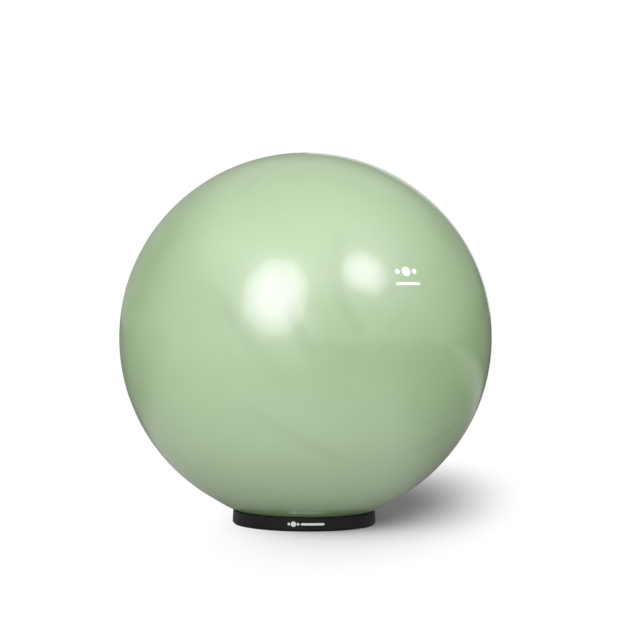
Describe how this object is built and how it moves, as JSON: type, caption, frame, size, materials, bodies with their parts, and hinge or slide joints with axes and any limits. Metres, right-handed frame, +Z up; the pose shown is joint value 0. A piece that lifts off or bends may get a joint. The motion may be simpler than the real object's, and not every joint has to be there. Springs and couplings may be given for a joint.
{
  "type": "exercise ball",
  "caption": "Large inflatable ball for sitting, balance and floor exercises, resting in a low round base ring.",
  "frame": {"origin": "on the floor, on the upright axis of the base ring and of the resting ball", "axes": "+Z up, -Y towards the front; the valve is on the back of the ball, below its middle"},
  "size_m": [0.65, 0.65, 0.6504],
  "materials": {
    "ball_vinyl": "pearlescent pale green vinyl, glossy, with soft darker flow streaks",
    "plug_plastic": "smooth off-white polyethylene",
    "ring_plastic": "satin black moulded plastic",
    "grip_rubber": "matt black rubber"
  },
  "bodies": {
    "base": {"base_ring": "ring_plastic", "grip_ring": "grip_rubber"},
    "ball": {"ball_skin": "ball_vinyl"},
    "plug": {"valve_plug": "plug_plastic"}
  },
  "joints": [
    {"name": "ball_lift", "type": "slide", "parent": "base", "child": "ball", "axis": [0, 0, 1], "range_m": [0, 0.1]},
    {"name": "plug_pull", "type": "slide", "parent": "ball", "child": "plug", "axis": [-0.5101, 0.7856, -0.3502], "range_m": [0, 0.03]}
  ]
}
